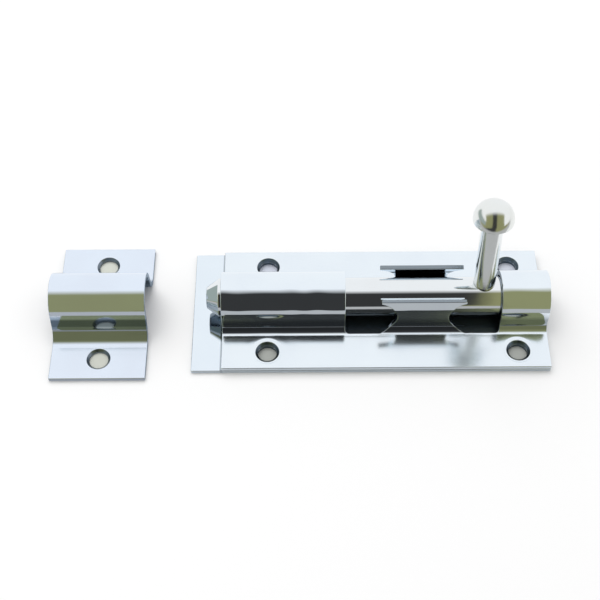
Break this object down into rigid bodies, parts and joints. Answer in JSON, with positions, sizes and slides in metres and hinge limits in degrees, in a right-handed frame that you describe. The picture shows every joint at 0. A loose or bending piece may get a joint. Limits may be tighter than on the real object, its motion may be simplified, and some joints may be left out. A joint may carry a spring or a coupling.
{
  "type": "padbolt",
  "caption": "Chromed padbolt: a round bolt slides under pressed straps, its mushroom handle swings down beside lugs to lock, and a separate arched keeper takes the nose.",
  "frame": {"origin": "middle of the case's four screw holes, on the mounting face at the back of the back plate", "axes": "X along the bolt, which shoots towards -X into the keeper; Y from the front long edge to the back one; Z straight off the door"},
  "size_m": [0.1521, 0.049, 0.0457],
  "materials": {
    "back_plate": "bright chrome plate on rolled sheet, faint waviness",
    "cover": "bright chrome plate on pressed sheet, soft pressing waves by the bends and holes",
    "bolt": "bright chrome plate on turned bar, fine slide scratches",
    "handle": "bright chrome plate on a headed pin",
    "keeper": "bright chrome plate on pressed sheet"
  },
  "bodies": {
    "case": {"back_plate": "back_plate", "cover": "cover", "keeper": "keeper"},
    "bolt": {"bolt": "bolt"},
    "handle": {"handle": "handle"}
  },
  "joints": [
    {"name": "bolt_throw", "type": "slide", "parent": "case", "child": "bolt", "axis": [-1, 0, 0], "range_m": [0, 0.0374]},
    {"name": "handle_turn", "type": "hinge", "parent": "bolt", "child": "handle", "pos_m": [0.02805, 0, 0.0086], "axis": [1, 0, 0], "range_deg": [-80, 100]}
  ]
}
